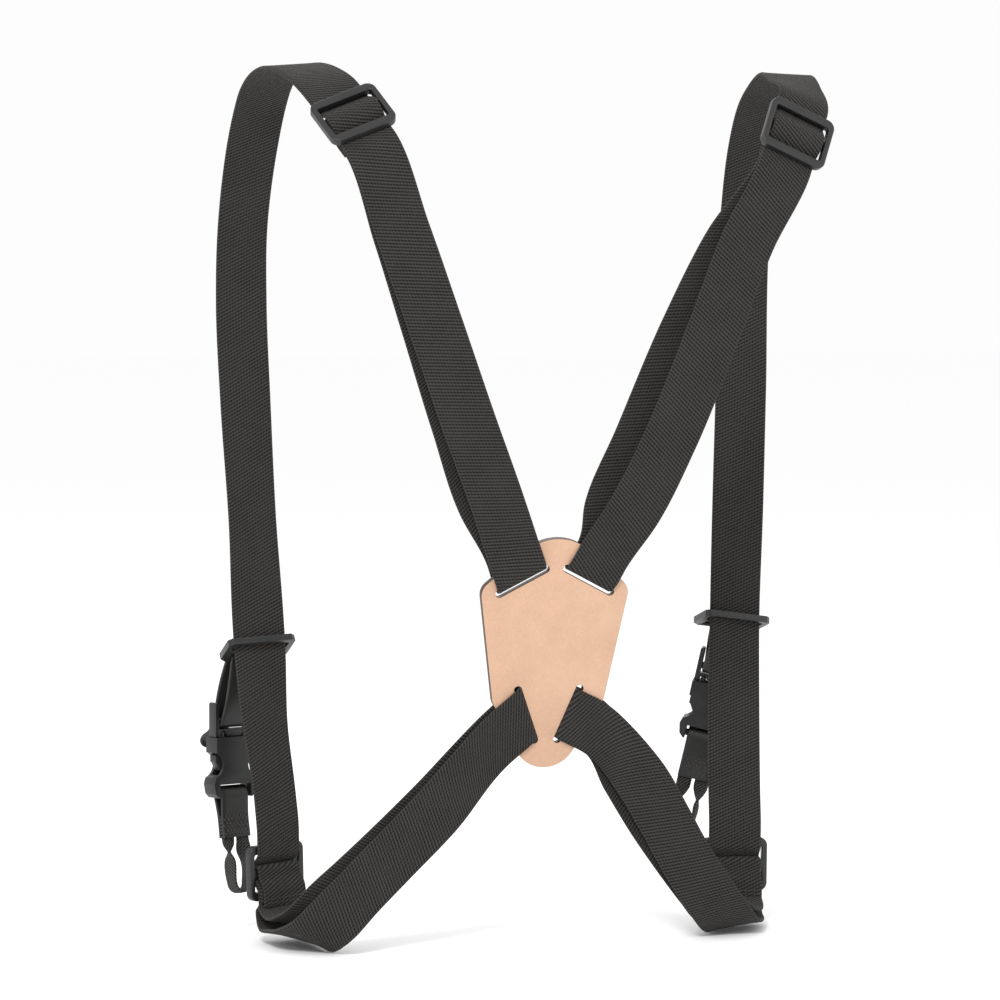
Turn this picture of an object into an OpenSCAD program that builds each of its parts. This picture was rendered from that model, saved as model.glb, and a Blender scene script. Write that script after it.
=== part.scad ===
// Binocular harness: two elastic straps that cross the shoulders and the waist, joined by a
// slotted leather back patch. Each strap has a tri-glide adjuster at both ends and a sliding
// plate on the chest, from which a quick-release buckle and a webbing loop hang.
// +Z is up, +Y points to the wearer's chest, and the origin is under the middle of the harness.

/* [Harness] */
// Height of the worn harness, floor line to shoulder
harness_h = 396; // [370:2:480]
// Distance between the middles of the chest straps at the shoulder
harness_w = 240; // [220:2:300]
// Depth of the harness, back straps to chest straps
harness_d = 128; // [118:2:170]

/* [Elastic] */
// Width of the elastic
strap_w = 25; // [20:0.5:30]
// Thickness of the elastic
strap_t = 1.6; // [1.2:0.1:2]
// Air left between the elastic and what it passes
strap_gap = 0.12; // [0.1:0.02:0.3]

/* [Back patch] */
// Width across the shoulders of the patch
patch_w = 69; // [66:1:90]
// Height of the patch
patch_h = 108; // [104:1:140]
// Thickness of the leather
patch_t = 3.5; // [2.5:0.1:5]
// Width of each slot in the patch
patch_slot_w = 3.6; // [3.4:0.1:5]

/* [Adjusters] */
// Length of an adjuster along the strap
adj_l = 25.5; // [25:0.5:32]
// Side rail of an adjuster, outside the strap
adj_rail = 2.6; // [2:0.2:4]
// Thickness of an adjuster's frame
adj_t = 3.8; // [3:0.1:5]
// Width of the outer bars
adj_bar = 4; // [3:0.2:4.4]

/* [Sliding plate] */
// Thickness of the plate
plate_t = 3; // [2.5:0.1:4]
// Width of each bar and side rail
plate_bar = 3.2; // [2.6:0.1:4]
// Opening that the elastic runs through, across its thickness
plate_slot = 5; // [4.6:0.1:7]

/* [Leather tabs] */
// Width of the leather tabs
tab_w = 15.6; // [12:0.5:18]
// Thickness of the tab leather
tab_t = 1.4; // [1:0.1:1.8]
// Length of the doubled lower tab below its bar
low_tab_l = 21; // [16:1:30]

/* [Buckle] */
// Width of the buckle at its mouth
buckle_w = 22; // [21:0.5:28]
// Thickness of the buckle
buckle_t = 8.4; // [8:0.1:11]
// Radius of the bars that the tabs turn on
bar_r = 1.6; // [1.2:0.1:2]
// Length of the mouth collar
collar_l = 6.6; // [5:0.2:8]
// Length of the socket, mouth to bar
socket_l = 26; // [24:0.5:36]

/* [Webbing loop] */
// Width of the loop's webbing
web_w = 7; // [5:0.5:7.5]
// Thickness of the loop's webbing
web_t = 1.4; // [1:0.1:1.8]
// Length of the loop below the tab
loop_l = 26; // [20:1:40]

/* [Hidden] */
$fn = 48;

LEFT = 0;
RIGHT = 1;
ELASTIC = "#2f2c2a";
LEATHER = "#e0b998";
PLASTIC = "#3a3a3a";
BLACK_LEATHER = "#232120";

// ---- vectors, frames and sweeps ----
function unit(v) = v / norm(v);
// A frame is [origin, along, across, outward]; the last is along x across.
function frame(origin, along, across) =
    let (a = unit(along), n = unit(cross(a, across)))
    [origin, a, cross(n, a), n];
function at(f, p) = f[0] + p[0] * f[1] + p[1] * f[2] + p[2] * f[3];
// Stations of a strip in a frame: each [along, outward] pair becomes [position, width direction].
function strip_in(f, pairs, side = 1) = [for (p = pairs) [at(f, [p[0], 0, p[1]]), side * f[2]]];
function reverse(list) = [for (i = [len(list) - 1 : -1 : 0]) list[i]];
module set_in(f) {
    translate(f[0])
        rotate([atan2(f[2].z, f[3].z), -asin(f[1].z), atan2(f[1].y, f[1].x)])
            children();
}

// A smooth run through stations: a cubic whose tangents allow for uneven spacing.
STEP = 7;
function gap_len(st, i) = max(norm(st[i + 1][0] - st[i][0]), 0.001);
function tangent(st, i, k) =
    let (last = len(st) - 1)
    i == 0 ? (st[1][k] - st[0][k]) / gap_len(st, 0)
    : i == last ? (st[last][k] - st[last - 1][k]) / gap_len(st, last - 1)
    : let (a = gap_len(st, i - 1), b = gap_len(st, i))
      ((st[i][k] - st[i - 1][k]) * b / a + (st[i + 1][k] - st[i][k]) * a / b) / (a + b);
function cubic(p, m, q, r, d, t) =
    p * (2 * t * t * t - 3 * t * t + 1) + m * d * (t * t * t - 2 * t * t + t)
    + q * (3 * t * t - 2 * t * t * t) + r * d * (t * t * t - t * t);
function run(st) = concat(
    [for (i = [0 : len(st) - 2])
        let (d = gap_len(st, i), parts = max(1, round(d / STEP)))
        for (j = [0 : parts - 1])
            [for (k = [0, 1])
                cubic(st[i][k], tangent(st, i, k), st[i + 1][k], tangent(st, i + 1, k),
                      d, j / parts)]],
    [st[len(st) - 1]]);

// Sweeps a flat strip of the given width and thickness along a run. A third value in a
// station, where there is one, narrows the strip there. A ruled strip keeps the width
// vector it is given; a free one is squared to its own run.
module strip(path, width, thick, closed = false, ruled = false) {
    count = len(path);
    narrow = [for (p = path) len(p) > 2 ? p[2] : 1];
    points = [for (i = [0 : count - 1])
        let (
            before = path[closed ? (i + count - 1) % count : max(i - 1, 0)][0],
            after = path[closed ? (i + 1) % count : min(i + 1, count - 1)][0],
            along = unit(after - before),
            out = unit(cross(along, path[i][1])),
            side = ruled ? path[i][1] : cross(out, along))
        for (c = [[1, 1], [-1, 1], [-1, -1], [1, -1]])
            path[i][0] + side * c[0] * narrow[i] * width / 2 + out * c[1] * thick / 2];
    walls = [for (i = [0 : count - (closed ? 1 : 2)])
        for (c = [0 : 3])
            let (a = 4 * i + c, b = 4 * i + (c + 1) % 4,
                 e = 4 * ((i + 1) % count) + c, f = 4 * ((i + 1) % count) + (c + 1) % 4)
            for (tri = [[a, b, f], [a, f, e]]) tri];
    ends = closed ? [] : [[3, 2, 1], [3, 1, 0],
        [for (c = [0, 1, 2]) 4 * (count - 1) + c], [for (c = [0, 2, 3]) 4 * (count - 1) + c]];
    polyhedron(points, concat(walls, ends), convexity = 10);
}

// ---- where things are ----
// Stations are chosen for this size of harness and stretch with it.
BASE_H = 396;
BASE_W = 240;
BASE_D = 128;
// Stations are laid out from under the patch; this brings the origin under the middle.
CENTRE = [3, -12.6, 2.6];
function stretch(p) =
    let (q = p + CENTRE)
    [q.x * harness_w / BASE_W, q.y * harness_d / BASE_D, q.z * harness_h / BASE_H];
function stations(rows) = squared([for (row = rows) [stretch(row[0]), row[1]]]);
// Turns each width direction square to the run of its own stations.
function squared(st) = [for (i = [0 : len(st) - 1])
    let (a = unit(st[min(i + 1, len(st) - 1)][0] - st[max(i - 1, 0)][0]), w = st[i][1])
    [st[i][0], unit(w - (w * a) * a)]];

// Patch frame: across the patch, up the patch, and out of its back face towards -Y.
PATCH_LEAN = 12.3;
PATCH_MID = stretch([0, -19.5, 131.5]);
PATCH = [PATCH_MID, [1, 0, 0], [0, -sin(PATCH_LEAN), cos(PATCH_LEAN)],
         [0, -cos(PATCH_LEAN), -sin(PATCH_LEAN)]];
function slot_l(upper) = strap_w + (upper ? 2.5 : 4);
// Slot middles and the angle of each slot: upper pair, then lower pair.
UPPER_SLOT = [patch_w * 0.225, patch_h * 0.318];
LOWER_SLOT = [patch_w * 0.145, -patch_h * 0.266];
UPPER_SLOT_ANGLE = 28;
LOWER_SLOT_ANGLE = 69;
// How far the elastic leans sideways as it leaves each slot: lower pair, upper pair.
SLOT_SKEW = [[0.38, -0.12], [0.12, 0]];
function mirror_x(v, side) = side == LEFT ? [-v.x, v.y] : v;
function slot_mid(side, upper) = mirror_x(upper ? UPPER_SLOT : LOWER_SLOT, side);
function slot_angle(side, upper) =
    (side == LEFT ? 1 : -1) * (upper ? UPPER_SLOT_ANGLE : -LOWER_SLOT_ANGLE);
// Slot frame: away from the slot along the strap, along the slot, out of the patch.
function slot_frame(side, upper) =
    let (
        a = slot_angle(side, upper),
        m = slot_mid(side, upper),
        sign = upper ? 1 : -1,
        skew = SLOT_SKEW[upper ? 1 : 0][side],
        across = cos(a) * PATCH[1] + sin(a) * PATCH[2])
    [PATCH_MID + m.x * PATCH[1] + m.y * PATCH[2],
     sign * (cos(a) * PATCH[2] - sin(a) * PATCH[1]) + skew * across,
     across * sqrt(1 + skew * skew), PATCH[3]];
// The elastic goes through the slot and comes back on the other face. It hugs the slot's
// near edge in the upper slots (hug = 1) and the far edge in the lower ones (hug = -1).
function slot_turn(from_front, hug) =
    let (
        r = strap_t / 2 + strap_gap,
        face = patch_t / 2 + r,
        edge = patch_slot_w / 2,
        through = hug * (edge - r),
        turn = [
            [14, face], [edge + 0.9, face], [through + 1, face - 0.3], [through, patch_t / 2],
            [through, -patch_t / 2], [through + 1, 0.3 - face], [edge + 0.9, -face], [14, -face]])
    from_front ? turn : [for (i = [len(turn) - 1 : -1 : 0]) turn[i]];

// Adjuster frames: along the strap towards its doubled part, across, outward.
ADJUSTERS = [
    [   // left upper, left lower
        frame(stretch([-101, -55, 372]), [0.31, -0.70, -0.64], [0.93, 0.10, 0.35]),
        frame(stretch([-110, 48, 28]), [0.03, 0.04, -1], [-0.89, -0.45, -0.05])],
    [   // right upper, right lower
        frame(stretch([104, -55, 365]), [-0.387, -0.403, -0.83], [0.91, 0, -0.42]),
        frame(stretch([109.5, 45, 24]), [0, 0.04, -1], [-0.99, 0.1, 0])]
];
adj_w = strap_w + 1.8 + 2 * adj_rail;
adj_under = strap_t / 2 + strap_gap;
// Half length of the stretch of elastic that is straight at an adjuster
REACH = adj_l / 2 + 1.5;
centre_bar = 4;
centre_bar_t = 1.2;
// The running strap goes under the outer bars and over the wrapped centre bar.
function weave(reach) =
    let (top = adj_under + centre_bar_t + 2 * strap_gap + 1.5 * strap_t)
    [[reach, 0], [adj_l / 2 - 1, 0], [adj_l / 2 - adj_bar - 0.2, 0], [5.3, top - 2.2],
     [3, top - 0.5], [1, top], [-1, top], [-3, top - 0.5], [-5.3, top - 2.2],
     [adj_bar + 0.2 - adj_l / 2, 0], [1 - adj_l / 2, 0], [-reach, 0]];
// The strap's end wraps the centre bar; its tail is sewn back on the inner side.
function wrap_turn() =
    let (
        r = strap_t / 2 + strap_gap,
        low = adj_under - r,
        high = adj_under + centre_bar_t + r,
        side = centre_bar / 2,
        inner = -strap_t - 2 * strap_gap)
    [[15, 2.2 * inner], [11, 2.2 * inner], [8, 2.05 * inner], [4, low - 2.1], [side, low - 0.5],
     [-side, low], [-side - 0.7 * r, adj_under - 0.7 * r], [-side - r, adj_under],
     [-side - r, adj_under + centre_bar_t], [-side - 0.7 * r, adj_under + centre_bar_t + 0.7 * r],
     [-side, high], [side, high], [side + 1.3, high - 0.6], [4.6, 1.2],
     [7, inner + 1], [10, inner], [13, inner]];

// Stations of the free runs: [position, direction across the strap].
// Outer layer, adjuster down to the patch.
UPPER_OUTER = [
    [[[-80, -63, 321], [0.94, 0, 0.35]], [[-64, -57, 281], [0.94, 0, 0.35]],
     [[-46, -48, 237], [0.94, 0, 0.35]], [[-30, -39, 200], [0.93, 0, 0.38]]],
    [[[79, -63, 317], [0.90, 0, -0.44]], [[66, -57, 279], [0.90, 0, -0.44]],
     [[48, -48, 229], [0.89, 0, -0.46]], [[33, -39, 195], [0.88, 0, -0.48]]]
];
// Inner layer, patch up to the adjuster.
UPPER_INNER = [
    [[[-34, -31, 200], [0.93, 0, 0.38]], [[-48.5, -38, 237], [0.94, 0, 0.35]],
     [[-65, -48, 281], [0.94, 0, 0.35]], [[-80, -57, 321], [0.94, 0, 0.35]]],
    [[[25.5, -28, 195], [0.88, 0, -0.48]], [[38.5, -34, 229], [0.89, 0, -0.46]],
     [[57.5, -44, 279], [0.90, 0, -0.44]], [[74, -55, 317], [0.90, 0, -0.44]]]
];
// Over the shoulder and straight down the chest.
FRONT = [
    [[[-112, -27, 392], [0.90, 0.25, 0.22]], [[-117, -8, 396], [0.92, 0.35, 0.08]],
     [[-119, 10, 394], [0.95, 0.30, 0]], [[-120, 28, 387], [0.98, 0.20, 0]],
     [[-120, 40, 378], [0.99, 0.15, 0]], [[-121, 51, 361], [0.99, 0.14, 0]],
     [[-124, 58, 324], [0.98, 0.20, 0]], [[-124, 61, 288], [0.99, 0.15, 0]],
     [[-122, 62, 245], [0.98, 0.17, 0]], [[-119, 61, 189], [0.96, 0.28, 0]],
     [[-116, 60, 132], [0.99, 0.10, 0]], [[-114, 57.5, 95], [0.93, 0.36, 0]],
     [[-111, 51.5, 63], [0.89, 0.45, 0]]],
    [[[113, -28, 389], [0.96, 0.10, -0.12]], [[116, -6, 393], [0.98, 0.15, -0.04]],
     [[117, 12, 389], [1, 0.05, 0]], [[118, 30, 380], [1, 0, 0]],
     [[119, 48, 360], [1, 0, 0]], [[118, 57, 324], [1, 0, 0]],
     [[117.6, 61.5, 245], [1, 0, 0]], [[116, 60.8, 192], [1, -0.03, 0]],
     [[114.3, 60, 139], [1, 0.05, 0]], [[113, 57, 97], [1, -0.06, 0]],
     [[111, 50, 60], [0.99, -0.10, 0]]]
];
// Outer layer under the arm and up to the patch.
LOWER_OUTER = [
    [[[-110, 47.5, 8], [0.90, 0.42, -0.02]], [[-110, 43, 3.2], [0.91, 0.40, -0.05]],
     [[-110.5, 35, 1.6], [0.94, 0.30, -0.12]], [[-111, 18, 1.8], [0.94, 0.15, -0.24]],
     [[-111, 2, 2.8], [0.93, 0, -0.34]], [[-108, -12, 5.6], [0.86, -0.15, -0.46]],
     [[-101, -19, 13.5], [0.74, -0.20, -0.62]], [[-90, -20.5, 25], [0.70, 0, -0.71]],
     [[-76, -20, 38.5], [0.70, 0, -0.72]], [[-54, -19, 59.5], [0.71, 0, -0.70]]],
    [[[109.5, 45, 7], [0.99, -0.06, 0]], [[109, 41, 2.6], [0.99, -0.04, 0]],
     [[107, 33, 1.2], [0.99, 0, 0.02]], [[101, 17, 0.6], [0.99, 0, 0.08]],
     [[95, 4, 1.6], [0.98, 0, 0.13]], [[88, -5, 7], [0.98, 0, 0.17]],
     [[79, -12, 17], [0.97, 0, 0.22]], [[64.5, -15.5, 38], [0.84, 0, 0.54]],
     [[56, -16.3, 53], [0.84, 0, 0.54]], [[42.5, -16.5, 75], [0.78, 0, 0.62]]]
];
// Inner layer, patch back to the lower adjuster.
LOWER_INNER = [
    [[[-54, -12, 62], [0.71, 0, -0.70]],
     [[-76, -13, 42], [0.70, 0, -0.72]], [[-90, -13, 29.5], [0.72, -0.05, -0.69]],
     [[-100, -9, 19.5], [0.80, -0.20, -0.56]], [[-106, 1, 11.5], [0.90, 0, -0.42]],
     [[-108, 14, 8.2], [0.94, 0.15, -0.30]], [[-109, 27, 7], [0.94, 0.28, -0.15]],
     [[-109.3, 36, 8], [0.91, 0.38, -0.07]], [[-109.6, 42.3, 10.7], [0.90, 0.43, 0]]],
    [[[40, -9.5, 73], [0.78, 0, 0.62]], [[52, -9.8, 53.5], [0.84, 0, 0.54]],
     [[63, -9.5, 38], [0.84, 0, 0.54]], [[77, -5.5, 21], [0.97, 0, 0.22]],
     [[86, 2, 11.5], [0.98, 0, 0.17]], [[94, 11, 6.8], [0.98, 0, 0.13]],
     [[100, 21, 5.4], [0.99, 0, 0.08]], [[105.5, 31, 5.4], [0.99, 0, 0.02]],
     [[108.6, 38.6, 7.4], [0.99, -0.06, 0]]]
];

// Sliding plate frame: across the strap, towards the tab bar, out of its upper face.
PLATE_AT = [[-116, 60, 132], [114.3, 60, 139]];
PLATE_PITCH = [28, 17];
PLATE_ROLL = [-3, 8];
PLATE_YAW = [0.1, 0.05];
function plate_frame(side) =
    let (p = PLATE_PITCH[side], r = PLATE_ROLL[side])
    frame(stretch(PLATE_AT[side]), [cos(r), PLATE_YAW[side], -sin(r)], [0, cos(p), -sin(p)]);
plate_w = strap_w + 2 + 2 * plate_bar - 1;
tab_slot = 5.5;
tab_bar_r = 1.8;
// Distance from the strap's slot to the bar that the tab hangs on.
tab_bar_at = plate_slot / 2 + plate_bar + tab_slot + tab_bar_r;
TAB_SHIFT = [-3.5, 2.5];
function tab_bar_frame(side) =
    let (f = plate_frame(side))
    [at(f, [TAB_SHIFT[side], tab_bar_at, 0]), f[1], f[2], f[3]];

// Buckle frame: across, outward, and up; its origin is the middle of the plug's bar.
BUCKLE_FROM_BAR = [[-4.6, 9.9, -30.5], [-2.4, 7.2, -21.5]];
BUCKLE_UP = [[0, 0, 1], [0.16, -0.2, 0.96]];
BUCKLE_ACROSS = [[0.914, 0.407, 0], [0.914, -0.407, 0]];
function buckle_frame(side) =
    let (up = unit(BUCKLE_UP[side]), out = unit(cross(up, BUCKLE_ACROSS[side])))
    [tab_bar_frame(side)[0] + BUCKLE_FROM_BAR[side], cross(out, up), out, up];

rail = 2.1;
rail_top = 8.7;
mouth_z = -7.5;
socket_bar_z = mouth_z - socket_l;
collar_wall = 1.6;
throat = buckle_w / 2 - collar_wall;
play = 0.35;
prong_u = buckle_w * 0.286;
prong_root_z = -6;
prong_root_r = 1.3;
barb_z = mouth_z - collar_l - 1.6;

// ---- straps ----
module strap_upper(side) {
    f = ADJUSTERS[side][0];
    s = slot_frame(side, true);
    color(ELASTIC)
        strip(run(concat(
            strip_in(f, wrap_turn()),
            reverse(stations(UPPER_INNER[side])),
            strip_in(s, slot_turn(false, 1)),
            reverse(stations(UPPER_OUTER[side])),
            strip_in(f, weave(REACH)))), strap_w, strap_t, ruled = true);
}

module strap_front(side) {
    top = ADJUSTERS[side][0];
    low = ADJUSTERS[side][1];
    color(ELASTIC)
        strip(run(concat(
            strip_in(top, [[-REACH, 0], [-REACH - 3, 0]]),
            stations(FRONT[side]),
            strip_in(low, [[-REACH - 3, 0], [-REACH, 0]], -1))), strap_w, strap_t);
}

module strap_lower(side) {
    f = ADJUSTERS[side][1];
    s = slot_frame(side, false);
    color(ELASTIC)
        strip(run(concat(
            reverse(strip_in(f, weave(REACH), -1)),
            stations(LOWER_OUTER[side]),
            strip_in(s, slot_turn(true, -1)),
            stations(LOWER_INNER[side]),
            reverse(strip_in(f, wrap_turn(), -1)))), strap_w, strap_t, ruled = true);
}

// ---- back patch ----
module patch_outline() {
    top_r = patch_w * 0.32;
    shoulder_r = 7;
    flank_r = 6;
    tail_r = patch_w * 0.217;
    hull() {
        translate([0, patch_h / 2 - top_r]) circle(top_r, $fn = 64);
        translate([0, tail_r - patch_h / 2]) circle(tail_r, $fn = 64);
        for (m = [-1, 1]) {
            translate([m * (patch_w / 2 - shoulder_r), patch_h * 0.26]) circle(shoulder_r, $fn = 32);
            translate([m * (patch_w * 0.385 - flank_r), -patch_h * 0.19]) circle(flank_r, $fn = 32);
        }
    }
}
module slot_shape(upper) {
    straight = slot_l(upper) - patch_slot_w;
    square([straight, patch_slot_w], center = true);
    for (m = [-1, 1]) translate([m * straight / 2, 0]) circle(patch_slot_w / 2);
}
module back_patch() {
    color(LEATHER)
        set_in(PATCH)
            translate([0, 0, -patch_t / 2])
            linear_extrude(patch_t)
            difference() {
                patch_outline();
                for (side = [LEFT, RIGHT], upper = [true, false])
                    translate(slot_mid(side, upper)) rotate(slot_angle(side, upper)) slot_shape(upper);
            }
}

// ---- adjusters ----
module rounded(size, r) {
    square([size.x - 2 * r, size.y], center = true);
    square([size.x, size.y - 2 * r], center = true);
    for (x = [-1, 1], y = [-1, 1])
        translate([x * (size.x / 2 - r), y * (size.y / 2 - r)]) circle(r);
}
module adjuster(side, end) {
    opening = [adj_l - 2 * adj_bar, adj_w - 2 * adj_rail];
    color(PLASTIC)
        set_in(ADJUSTERS[side][end])
            translate([0, 0, adj_under]) {
                linear_extrude(adj_t)
                    difference() {
                        rounded([adj_l, adj_w], 4);
                        rounded(opening, 1);
                    }
                translate([-centre_bar / 2, -opening.y / 2 - 0.5, 0])
                    cube([centre_bar, opening.y + 1, centre_bar_t]);
            }
}

// ---- sliding plate ----
module slider_plate(side) {
    near = -plate_slot / 2 - plate_bar;
    far = tab_bar_at + tab_bar_r + 0.5;
    chamfer = 4;
    half = plate_w / 2;
    color(PLASTIC)
        set_in(plate_frame(side)) {
            translate([0, 0, -plate_t / 2])
                linear_extrude(plate_t)
                difference() {
                    polygon([[-half, near + chamfer / 2], [chamfer / 2 - half, near],
                             [half - chamfer / 2, near], [half, near + chamfer / 2],
                             [half, far - chamfer], [half - chamfer, far],
                             [chamfer - half, far], [-half, far - chamfer]]);
                    rounded([strap_w + 2, plate_slot], 0.8);
                    translate([0, plate_slot / 2 + plate_bar + (tab_slot + 3 * tab_bar_r) / 2])
                        square([strap_w - 1, tab_slot + 3 * tab_bar_r], center = true);
                }
            translate([-strap_w / 2, tab_bar_at, 0])
                rotate([0, 90, 0])
                cylinder(h = strap_w, r = tab_bar_r);
        }
}

// ---- leather tabs ----
tab_r_top = tab_bar_r + 0.3 + tab_t / 2;
tab_r_low = bar_r + 0.3 + tab_t / 2;
function ply(top, low, top_out, low_out, t, sign) =
    let (r = (1 - t) * tab_r_top + t * tab_r_low + 1.6 * sin(180 * t))
    [(1 - t) * top[0] + t * low[0] + sign * r * unit((1 - t) * top_out + t * low_out),
     unit((1 - t) * top[1] + t * low[1])];
module upper_tab(side) {
    top = tab_bar_frame(side);
    low = buckle_frame(side);
    drop = unit(low[0] - top[0]);
    top_out = unit(cross(drop, top[1]));
    top_down = cross(top[1], top_out);
    low_out = unit(cross(drop, low[1]));
    low_down = cross(low[1], low_out);
    around_top = [for (a = [-90 : 30 : 90])
        [top[0] + tab_r_top * (sin(a) * top_out - cos(a) * top_down), top[1]]];
    around_low = [for (a = [90 : -30 : -90])
        [low[0] + tab_r_low * (sin(a) * low_out + cos(a) * low_down), low[1]]];
    color(BLACK_LEATHER)
        strip(concat(
            around_top, [for (t = [0.2 : 0.2 : 0.8]) ply(top, low, top_out, low_out, t, 1)],
            around_low, [for (t = [0.8 : -0.2 : 0.2]) ply(top, low, top_out, low_out, t, -1)]),
            tab_w, tab_t, closed = true, ruled = true);
}
// The free end of the upper tab stands out from the buckle as a rounded tongue.
module pull_tongue(side) {
    f = buckle_frame(side);
    aside = side == LEFT ? -2.5 : 2.5;
    root = tab_r_low + tab_t + 0.05;
    path = [[root, 1.2, 1], [root + 0.1, -1.5, 1], [root + 1.8, -4.3, 1], [root + 4.5, -6.3, 1],
            [root + 7.3, -7.8, 1], [root + 9.2, -10, 0.97], [root + 10, -12.4, 0.8],
            [root + 10.2, -13.8, 0.5]];
    color(BLACK_LEATHER)
        strip([for (p = path) [f[0] + p[0] * f[2] + p[1] * f[3] + aside * f[1], f[1], p[2]]],
              tab_w * 0.68, tab_t);
}

// Lower frame: the buckle frame moved to the socket's bar, its "up" turned to follow the tab.
LOW_TAB_LEAN = [9, 14];
function low_tab_frame(side) =
    let (
        b = buckle_frame(side),
        a = LOW_TAB_LEAN[side],
        up = cos(a) * b[3] + sin(a) * b[2])
    [b[0] + socket_bar_z * b[3], b[1], unit(cross(up, b[1])), up];
module lower_tab(side) {
    f = low_tab_frame(side);
    ply = web_t / 2 + tab_t / 2 + 0.15;
    color(BLACK_LEATHER)
        strip([for (p = concat(
                [[-low_tab_l, -ply], [-10, -ply], [-6, -ply - 0.5]],
                [for (a = [-90 : 30 : 90]) [tab_r_low * cos(a), tab_r_low * sin(a)]],
                [[-6, ply + 0.5], [-10, ply], [-low_tab_l, ply]]))
            [f[0] + p[0] * f[3] + p[1] * f[2], f[1]]], tab_w, tab_t, ruled = true);
}
module webbing_loop(side) {
    f = low_tab_frame(side);
    spread = 4.2;
    bottom = -low_tab_l - loop_l + spread + web_t / 2;
    leg = [[-11, 0], [-low_tab_l, 0], [-low_tab_l - 3, 8], [-low_tab_l - 7, 55],
           [-low_tab_l - 10, 90]];
    color("#1f1f1f")
        strip(concat(
            [for (p = leg) [f[0] + p[0] * f[3] - spread * f[1], cos(p[1]) * f[1] + sin(p[1]) * f[2]]],
            [for (a = [0 : 22.5 : 180])
                [f[0] + (bottom - spread * sin(a)) * f[3] - spread * cos(a) * f[1], f[2]]],
            [for (p = reverse(leg))
                [f[0] + p[0] * f[3] + spread * f[1], -cos(p[1]) * f[1] + sin(p[1]) * f[2]]]),
            web_w, web_t);
}

// ---- buckle ----
module across_bar(length, z) {
    translate([-length / 2, 0, z]) rotate([0, 90, 0]) cylinder(h = length, r = bar_r);
}
// A flat shape drawn across and up, given a thickness along the outward axis.
module slab(thick) {
    rotate([90, 0, 0]) translate([0, 0, -thick / 2]) linear_extrude(thick) children();
}
module buckle_plug(side) {
    w = buckle_w - 1;
    foot = mouth_z + 0.3;
    shelf = -bar_r - 0.3 - tab_t - 0.4;
    color(PLASTIC)
        set_in(buckle_frame(side))
            difference() {
                union() {
                    slab(5.2) {
                        translate([-w / 2, foot]) square([w, shelf - foot]);
                        for (m = [-1, 1]) translate([m * (w - rail) / 2, 0]) {
                            translate([-rail / 2, foot]) square([rail, rail_top - rail / 2 - foot]);
                            translate([0, rail_top - rail / 2]) circle(rail / 2);
                        }
                    }
                    across_bar(w - 2, 0);
                    translate([-1.5, -1.5, mouth_z - 14]) cube([3, 3, 14 + mouth_z - foot + 4]);
                }
                for (m = [-1, 1]) translate([m * prong_u, 0, prong_root_z]) prong_room();
            }
}
// Room for the root of a flexing arm.
module prong_room() {
    rotate([90, 0, 0]) cylinder(h = 6, r = prong_root_r + 0.25, center = true);
    translate([-prong_root_r - 0.5, -3, mouth_z - prong_root_z - 2])
        cube([2 * prong_root_r + 1.6, 6, prong_root_z - mouth_z + 2]);
}
// One springy arm of the plug: slim through the mouth, wide where the fingers press.
module prong(side, m) {
    u = prong_u;
    tip_z = mouth_z - 16;
    color(PLASTIC)
        set_in(buckle_frame(side))
            mirror([m < 0 ? 1 : 0, 0, 0])
            rotate([90, 0, 0])
            translate([0, 0, -2.2])
            linear_extrude(4.4) {
                translate([u, prong_root_z]) circle(prong_root_r);
                polygon([[u - 1.1, prong_root_z], [u - 0.9, barb_z], [u - 0.3, tip_z + 2],
                         [u + 0.2, tip_z], [u + 1.4, tip_z + 0.6], [throat + 0.2, tip_z + 4],
                         [throat + 1, barb_z - 3.2], [throat + 1, barb_z],
                         [throat - play, barb_z], [throat - play, mouth_z - 1.5],
                         [u + 1.1, mouth_z + 0.5], [u + 1.1, prong_root_z]]);
            }
}
module buckle_socket(side) {
    w = buckle_w;
    deep = socket_bar_z + 6.5;
    end_z = socket_bar_z - bar_r - 0.6;
    cut_r = 6.2;
    cut_z = mouth_z - collar_l - cut_r;
    color(PLASTIC)
        set_in(buckle_frame(side)) {
            difference() {
                slab(buckle_t)
                    difference() {
                        polygon([[-w / 2, mouth_z], [w / 2, mouth_z], [w / 2, deep + 2],
                                 [w / 2 + 1.5, deep - 2], [w / 2 + 0.6, end_z + 2],
                                 [w / 2 - 1.4, end_z], [1.4 - w / 2, end_z],
                                 [-w / 2 - 0.6, end_z + 2], [-w / 2 - 1.5, deep - 2],
                                 [-w / 2, deep + 2]]);
                        translate([rail - w / 2, end_z - 1])
                            square([w - 2 * rail, deep - 2.4 - end_z + 1]);
                    }
                translate([-throat, -2.5, deep]) cube([2 * throat, 5, socket_l]);
                for (m = [-1, 1])
                    translate([m * (w / 2 + 2.4), 0, cut_z])
                        rotate([90, 0, 0]) cylinder(h = buckle_t + 2, r = cut_r, center = true);
            }
            across_bar(w - 1, socket_bar_z);
        }
}

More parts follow.
